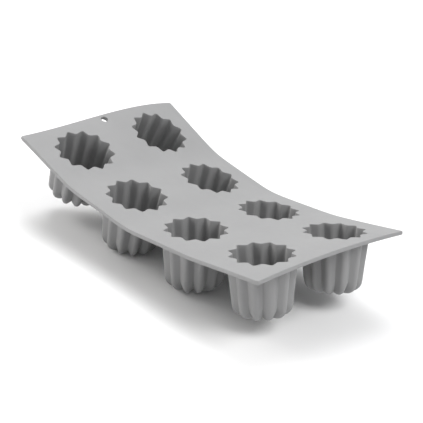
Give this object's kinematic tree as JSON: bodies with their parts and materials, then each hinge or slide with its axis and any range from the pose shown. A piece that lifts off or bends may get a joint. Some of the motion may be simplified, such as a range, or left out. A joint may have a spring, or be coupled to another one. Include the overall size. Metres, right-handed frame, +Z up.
{
  "type": "silicone canele mould",
  "caption": "Flexible silicone baking mould: a thin sheet carrying rows of tapered fluted cups for canele cakes. It bends between the cups, and each cup floor pushes up.",
  "frame": {"origin": "under the middle of the mould, on the surface that its lowest cups stand on", "axes": "+X along the sheet away from the raised end with the hanging hole, +Y across it to the back row, +Z up"},
  "size_m": [0.2996, 0.175, 0.0843],
  "materials": {
    "silicone": "matte grey moulded silicone"
  },
  "bodies": {
    "column_1": {"deck_column_1": "silicone", "cup_wall_1_front": "silicone", "cup_wall_1_back": "silicone"},
    "column_2": {"deck_column_2": "silicone", "cup_wall_2_front": "silicone", "cup_wall_2_back": "silicone", "flex_web_1_2": "silicone", "flex_web_2_3": "silicone"},
    "column_3": {"deck_column_3": "silicone", "cup_wall_3_front": "silicone", "cup_wall_3_back": "silicone", "flex_web_3_4": "silicone"},
    "column_4": {"deck_column_4": "silicone", "cup_wall_4_front": "silicone", "cup_wall_4_back": "silicone"},
    "floor_1_front": {"cup_floor_1_front": "silicone"},
    "floor_1_back": {"cup_floor_1_back": "silicone"},
    "floor_2_front": {"cup_floor_2_front": "silicone"},
    "floor_2_back": {"cup_floor_2_back": "silicone"},
    "floor_3_front": {"cup_floor_3_front": "silicone"},
    "floor_3_back": {"cup_floor_3_back": "silicone"},
    "floor_4_front": {"cup_floor_4_front": "silicone"},
    "floor_4_back": {"cup_floor_4_back": "silicone"}
  },
  "joints": [
    {"name": "flex_1_2", "type": "hinge", "parent": "column_2", "child": "column_1", "pos_m": [-0.07547, 0, 0.0539], "axis": [0, 1, 0], "range_deg": [-37, 33], "stiffness_Nm_per_rad": 0.15, "springref_deg": -12, "deforming": ["flex_web_1_2"]},
    {"name": "flex_2_3", "type": "hinge", "parent": "column_2", "child": "column_3", "pos_m": [-0.0002, 0, 0.04596], "axis": [0, -1, 0], "range_deg": [-37, 33], "stiffness_Nm_per_rad": 0.15, "springref_deg": -12, "deforming": ["flex_web_2_3"]},
    {"name": "flex_3_4", "type": "hinge", "parent": "column_3", "child": "column_4", "pos_m": [0.0749, 0, 0.05362], "axis": [0, -1, 0], "range_deg": [-30, 40], "stiffness_Nm_per_rad": 0.15, "springref_deg": -5, "deforming": ["flex_web_3_4"]},
    {"name": "push_1_front", "type": "slide", "parent": "column_1", "child": "floor_1_front", "axis": [0.2712, -0.0817, 0.959], "range_m": [0, 0.01], "stiffness_N_per_m": 600},
    {"name": "push_1_back", "type": "slide", "parent": "column_1", "child": "floor_1_back", "axis": [0.3649, 0.0029, 0.9311], "range_m": [0, 0.01], "stiffness_N_per_m": 600},
    {"name": "push_2_front", "type": "slide", "parent": "column_2", "child": "floor_2_front", "axis": [0.0945, -0.0437, 0.9946], "range_m": [0, 0.01], "stiffness_N_per_m": 600},
    {"name": "push_2_back", "type": "slide", "parent": "column_2", "child": "floor_2_back", "axis": [0.1144, 0.0317, 0.9929], "range_m": [0, 0.01], "stiffness_N_per_m": 600},
    {"name": "push_3_front", "type": "slide", "parent": "column_3", "child": "floor_3_front", "axis": [-0.1025, -0.0368, 0.9941], "range_m": [0, 0.01], "stiffness_N_per_m": 600},
    {"name": "push_3_back", "type": "slide", "parent": "column_3", "child": "floor_3_back", "axis": [-0.1064, 0.0385, 0.9936], "range_m": [0, 0.01], "stiffness_N_per_m": 600},
    {"name": "push_4_front", "type": "slide", "parent": "column_4", "child": "floor_4_front", "axis": [-0.1768, -0.0505, 0.9829], "range_m": [0, 0.01], "stiffness_N_per_m": 600},
    {"name": "push_4_back", "type": "slide", "parent": "column_4", "child": "floor_4_back", "axis": [-0.2045, 0.0248, 0.9786], "range_m": [0, 0.01], "stiffness_N_per_m": 600}
  ]
}
